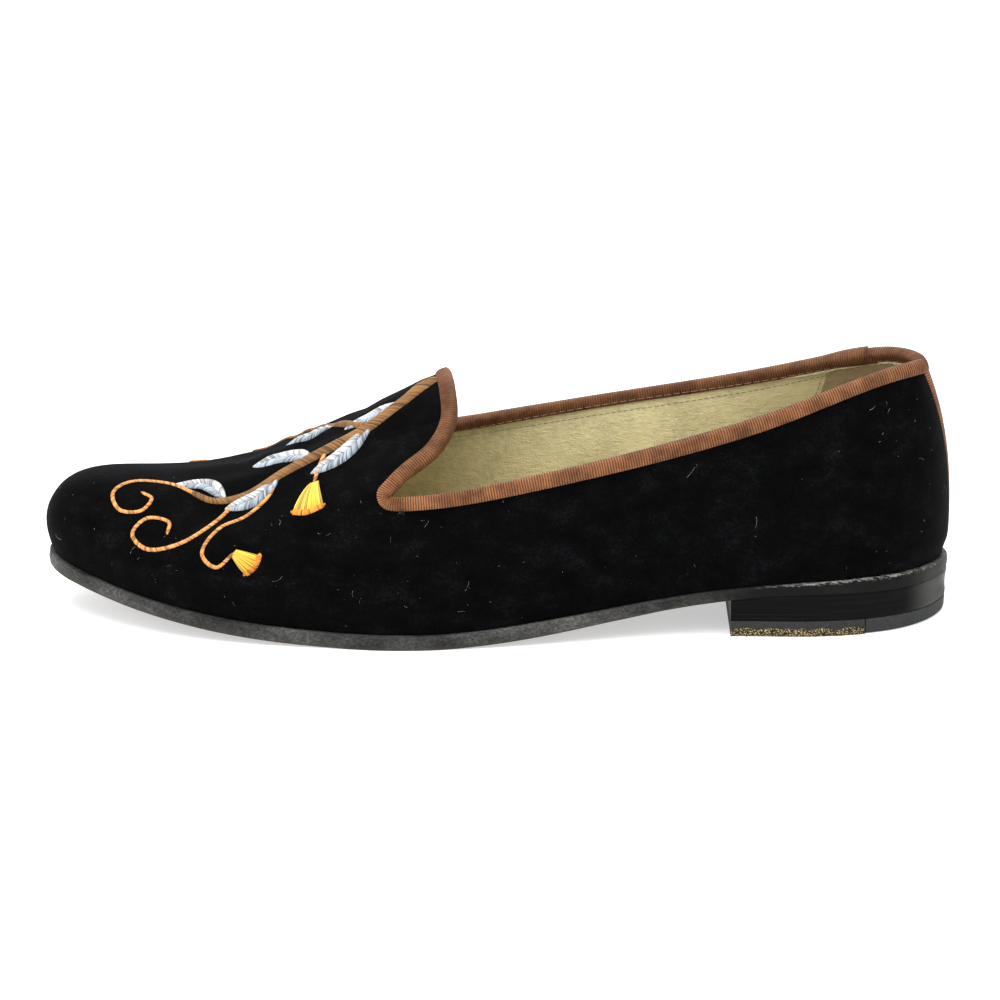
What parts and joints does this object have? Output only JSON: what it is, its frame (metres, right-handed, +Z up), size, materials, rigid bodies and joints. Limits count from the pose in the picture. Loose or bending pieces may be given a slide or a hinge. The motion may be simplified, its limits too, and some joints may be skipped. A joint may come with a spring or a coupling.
{
  "type": "velvet slipper loafer",
  "caption": "Left velvet slipper loafer with an embroidered almond toe, ribbon-bound collar, thin leather sole and low stacked heel.",
  "frame": {"origin": "on the floor, under the middle of the shoe's box", "axes": "+X from the toe to the heel, +Z up, -Y out of the outer (lateral) side of this left shoe"},
  "size_m": [0.2572, 0.0792, 0.0743],
  "materials": {
    "velvet": "black cut pile with a faint grey sheen",
    "ribbon": "reddish brown, ribbed across its width",
    "lining_leather": "pale gold beige, fine grain, satin",
    "sole_leather": "black, matt and lightly rubbed",
    "polished_leather": "black, polished",
    "lift_leather": "dark, worn pale tan along the lower edge",
    "lift_rubber": "dark grey, matt"
  },
  "bodies": {
    "root": {"upper": "velvet", "topline_binding": "ribbon", "back_strip": "ribbon", "insole": "lining_leather", "outsole": "sole_leather", "heel_block": "polished_leather", "heel_lift_leather": "lift_leather", "heel_lift_rubber": "lift_rubber"}
  },
  "joints": []
}
